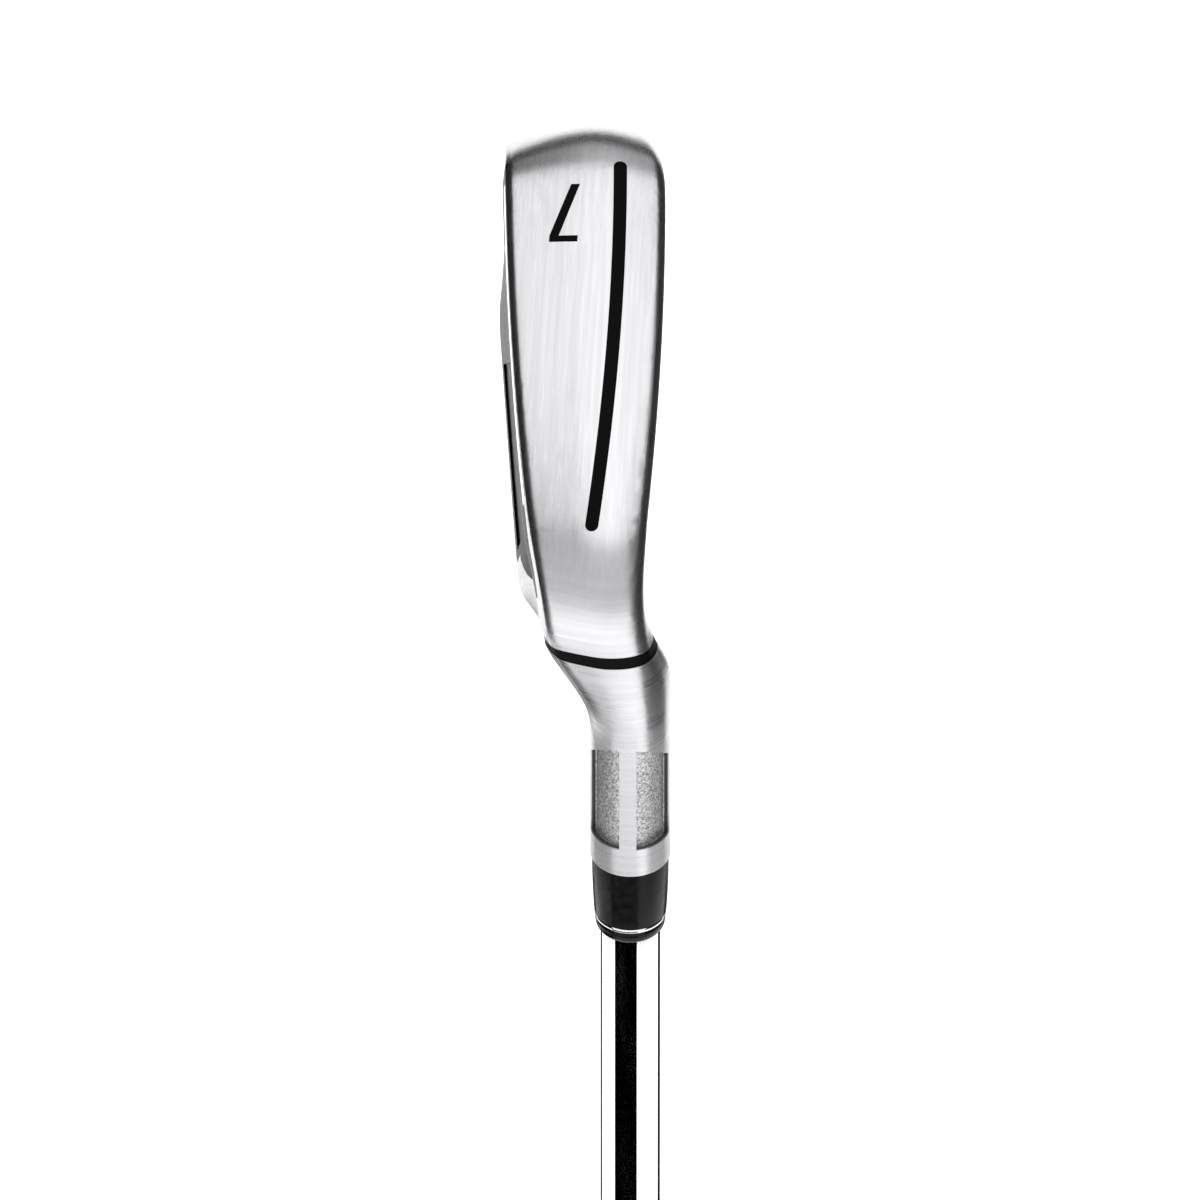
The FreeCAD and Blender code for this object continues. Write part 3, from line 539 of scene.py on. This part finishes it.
# name, distance from the shaft axis, bearings from the camera side, heights
FLAGS = (
    ("stripe_flag", 0.40, (-58.0, 29.0), (0.40, 0.528)),
    ("edge_flag", 0.40, (138.0, 222.0), (0.40, 0.528)),
    ("ferrule_flag", 0.38, (-150.0, 150.0), (0.538, 0.5535)),
    ("left_low_flag", 0.35, (-140.0, -60.0), (0.10, 0.485)),
    ("left_flag", 0.90, (-122.0, -50.0), (0.093, 2.15)),
    ("left_rear_flag", 0.90, (-155.0, -122.0), (0.35, 2.15)),
    ("right_flag", 0.90, (50.0, 122.0), (0.093, 2.15)),
    ("right_rear_flag", 0.90, (122.0, 155.0), (0.35, 2.15)),
    ("back_flag", 1.20, (155.0, 205.0), (1.08, 1.60)))


class CLUB_OT_stage(bpy.types.Operator):
    """Sets the glowing table, the softbox, the dark flags, the sky and the camera"""
    bl_idname = "club.stage"
    bl_label = "Set the stage"

    def flag(self, name, radius, turn, heights, material):
        """A dark curved card round the club, from one bearing and height to another"""
        a = np.radians(np.linspace(turn[0], turn[1], 25))[None, :]
        z = np.array(heights)[:, None]
        points = np.stack(
            [radius * np.sin(a) + 0 * z, -radius * np.cos(a) + 0 * z, z + 0 * a], axis=-1)
        card = grid_mesh(name, points)
        card.data.materials.append(material)
        card.visible_camera = False
        card.visible_shadow = False
        card.visible_diffuse = False

    def execute(self, context):
        s = context.scene.club_studio
        scene = context.scene
        side = np.array([-TABLE_HALF, TABLE_HALF])
        across, along = np.meshgrid(side, TABLE_Y + side, indexing="ij")
        corners = np.stack([across, along, np.zeros((2, 2))], axis=-1)
        table = grid_mesh("table", corners, flip=True)
        table.data.materials.append(glow("White table", "#ffffff", s.floor))
        dark = plain("Black velvet flag", "#000000", 0.9, level=0.0)
        for name, radius, turn, heights in FLAGS:
            self.flag(name, radius, turn, heights, dark)

        light = bpy.data.lights.new("softbox", "AREA")
        light.shape = "RECTANGLE"
        light.size = SOFTBOX_SIZE
        light.size_y = SOFTBOX_SIZE
        light.energy = s.key
        softbox = bpy.data.objects.new("softbox", light)
        softbox.location = (0.0, -0.1, 2.3)
        scene.collection.objects.link(softbox)

        world = bpy.data.worlds.new("studio")
        world.use_nodes = True
        tree = world.node_tree
        tree.nodes.clear()
        place = add(tree, "ShaderNodeTexCoord").outputs["Generated"]
        depth = add(tree, "ShaderNodeSeparateXYZ", {0: place}).outputs["Y"]
        level = band(tree, depth, -0.3, 0.3, 1.0, 0.75)
        sky = add(tree, "ShaderNodeBackground", {"Strength": level})
        add(tree, "ShaderNodeOutputWorld", {"Surface": sky.outputs[0]})
        scene.world = world
        scene.view_settings.view_transform = "Standard"

        a, e = s.azimuth, s.elevation
        right = np.array([math.cos(a), math.sin(a), 0.0])
        up = np.array([-math.sin(a) * math.sin(e), math.cos(a) * math.sin(e), math.cos(e)])
        back = np.array([math.sin(a) * math.cos(e), -math.cos(a) * math.cos(e), math.sin(e)])
        target = np.array([0.0, 0.0, LENGTH]) - right * AIM_LEFT - up * AIM_DOWN
        data = bpy.data.cameras.new("camera")
        data.sensor_width = SENSOR
        data.lens = SENSOR * s.distance / s.width
        data.clip_end = 100.0
        camera = bpy.data.objects.new("camera", data)
        turn = Matrix([list(row) for row in np.stack([right, up, back], axis=1)])
        camera.rotation_euler = turn.to_euler()
        camera.location = target + back * s.distance
        scene.collection.objects.link(camera)
        scene.camera = camera
        return {"FINISHED"}


class CLUB_PT_panel(bpy.types.Panel):
    """Settings and steps for the club"""
    bl_idname = "CLUB_PT_panel"
    bl_label = "Iron club"
    bl_space_type = "VIEW_3D"
    bl_region_type = "UI"
    bl_category = "Iron club"

    def draw(self, context):
        for name in ("club_shaft", "club_grip", "club_studio"):
            group = getattr(context.scene, name)
            for prop in group.__annotations__:
                self.layout.prop(group, prop)
        for step in STEPS:
            self.layout.operator(step.bl_idname)


STEPS = (CLUB_OT_head, CLUB_OT_ferrule, CLUB_OT_shaft, CLUB_OT_grip, CLUB_OT_stage)
GROUPS = {"club_shaft": ShaftSettings, "club_grip": GripSettings, "club_studio": StudioSettings}


def register():
    for cls in (*GROUPS.values(), *STEPS, CLUB_PT_panel):
        bpy.utils.register_class(cls)
    for name, cls in GROUPS.items():
        setattr(bpy.types.Scene, name, PointerProperty(type=cls))


def unregister():
    for name in GROUPS:
        delattr(bpy.types.Scene, name)
    for cls in reversed((*GROUPS.values(), *STEPS, CLUB_PT_panel)):
        bpy.utils.unregister_class(cls)


def main():
    register()
    for name in ("head", "ferrule", "shaft", "grip", "stage"):
        getattr(bpy.ops.club, name)()


if __name__ == "__main__":
    main()
